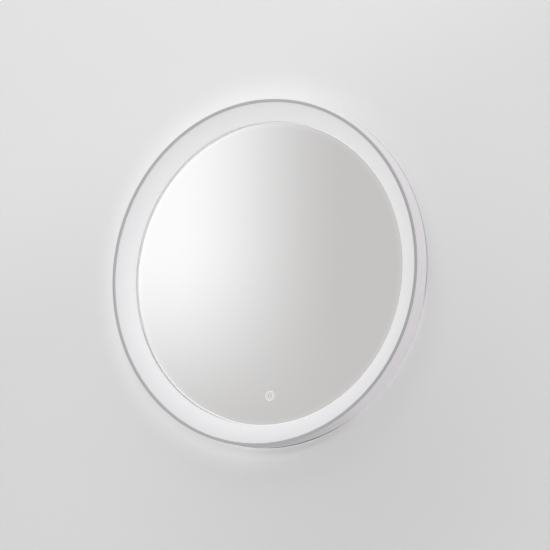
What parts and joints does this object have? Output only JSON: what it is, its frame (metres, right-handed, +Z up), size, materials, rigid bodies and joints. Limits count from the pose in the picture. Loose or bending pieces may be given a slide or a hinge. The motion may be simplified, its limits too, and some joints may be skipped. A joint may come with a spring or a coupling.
{
  "type": "round led wall mirror",
  "caption": "Round wall mirror set back inside a dished opal light ring with a slim metal lip, hung on a wall rail and switched by a touch mark on the glass.",
  "frame": {"origin": "midway between the two screw holes of the wall rail, on the wall plane", "axes": "+Z up, +X to the right for someone who faces the mirror, -Y out of the wall towards that person"},
  "size_m": [0.6, 0.04, 0.6],
  "materials": {
    "satin_aluminium": "satin anodised",
    "opal_diffuser": "satin opal acrylic",
    "opal_band": "satin opal acrylic",
    "mirror": "silvered float glass",
    "clear_gasket": "silicone",
    "foam_tape": "closed-cell foam",
    "galvanised_steel": "galvanised sheet",
    "zinc_steel": "bright zinc plate",
    "fastener": "zinc plated",
    "rivet_aluminium": "bright",
    "strip_circuit": "white coated circuit",
    "led_lens": "phosphor",
    "supply_plastic": "moulded",
    "terminal_plastic": "moulded",
    "lead_insulation": "extruded",
    "clip_nylon": "moulded",
    "black_rubber": "moulded"
  },
  "bodies": {
    "wall_rail": {"wall_rail": "zinc_steel"},
    "mirror": {"trim_ring": "satin_aluminium", "diffuser_ring": "opal_diffuser", "side_band": "opal_band", "mirror_glass": "mirror", "glass_gasket": "clear_gasket", "glass_tape": "foam_tape", "chassis_ring": "galvanised_steel", "led_strip": "strip_circuit", "led_chips": "led_lens", "back_plate": "galvanised_steel", "band_screws": "fastener", "chassis_screws": "fastener", "chassis_nuts": "fastener", "driver_case": "supply_plastic", "driver_cover": "supply_plastic", "driver_screws": "fastener", "terminal_block": "terminal_plastic", "cable_grommet": "black_rubber", "touch_module": "supply_plastic", "module_tape": "foam_tape", "mains_leads": "lead_insulation", "led_lead": "lead_insulation", "sensor_lead": "lead_insulation", "lead_clips": "clip_nylon", "hanger_rail": "zinc_steel", "hanger_rivets": "rivet_aluminium", "wall_bumpers": "black_rubber"}
  },
  "joints": [
    {"name": "mirror_lift", "type": "slide", "parent": "wall_rail", "child": "mirror", "axis": [0, 0, 1], "range_m": [0, 0.012]}
  ]
}
